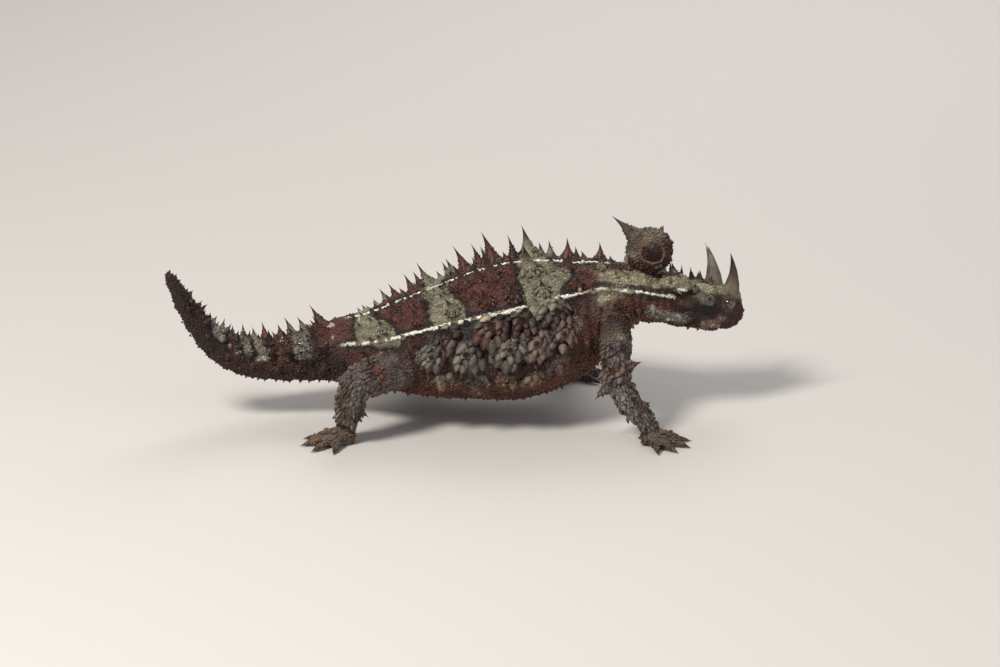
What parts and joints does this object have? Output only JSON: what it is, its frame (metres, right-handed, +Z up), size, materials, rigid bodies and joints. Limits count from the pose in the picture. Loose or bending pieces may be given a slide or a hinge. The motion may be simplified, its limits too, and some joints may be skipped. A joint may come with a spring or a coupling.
{
  "type": "thorny devil",
  "caption": "Life-size still model of a thorny devil lizard walking on four legs, with raised curved tail, spined back, horned head and nape knob.",
  "frame": {"origin": "on the ground under the middle of the bounding box", "axes": "+X towards the head end, +Y towards the animal's left, +Z up"},
  "size_m": [0.1522, 0.075, 0.0525],
  "materials": {
    "head_skin": "matt granular reptile skin, olive grey and tan with dark maroon",
    "trunk_skin": "matt granular reptile skin, maroon blotches edged black, olive saddles and pale stripes",
    "tail_skin": "matt granular reptile skin, dark reddish brown with grey bands",
    "limb_skin": "matt scaly reptile skin, grey brown with maroon",
    "horn": "satin horn, grey brown with dark tip",
    "claw": "dark horny claw, satin",
    "eye": "wet dark eye, glossy"
  },
  "bodies": {
    "root": {"head": "head_skin", "neck": "head_skin", "nuchal_knob": "head_skin", "trunk_front": "trunk_skin", "trunk_rear": "trunk_skin", "tail_base": "tail_skin", "tail_middle": "tail_skin", "tail_end": "tail_skin", "upper_arm_right": "limb_skin", "forearm_right": "limb_skin", "hand_right": "limb_skin", "upper_arm_left": "limb_skin", "forearm_left": "limb_skin", "hand_left": "limb_skin", "thigh_right": "limb_skin", "shank_right": "limb_skin", "foot_right": "limb_skin", "thigh_left": "limb_skin", "shank_left": "limb_skin", "foot_left": "limb_skin", "horn_right": "horn", "eye_right": "eye", "claw_front_right_1": "claw", "claw_front_right_2": "claw", "claw_front_right_3": "claw", "claw_front_right_4": "claw", "claw_front_right_5": "claw", "claw_hind_right_1": "claw", "claw_hind_right_2": "claw", "claw_hind_right_3": "claw", "claw_hind_right_4": "claw", "claw_hind_right_5": "claw", "horn_left": "horn", "eye_left": "eye", "claw_front_left_1": "claw", "claw_front_left_2": "claw", "claw_front_left_3": "claw", "claw_front_left_4": "claw", "claw_front_left_5": "claw", "claw_hind_left_1": "claw", "claw_hind_left_2": "claw", "claw_hind_left_3": "claw", "claw_hind_left_4": "claw", "claw_hind_left_5": "claw"}
  },
  "joints": []
}
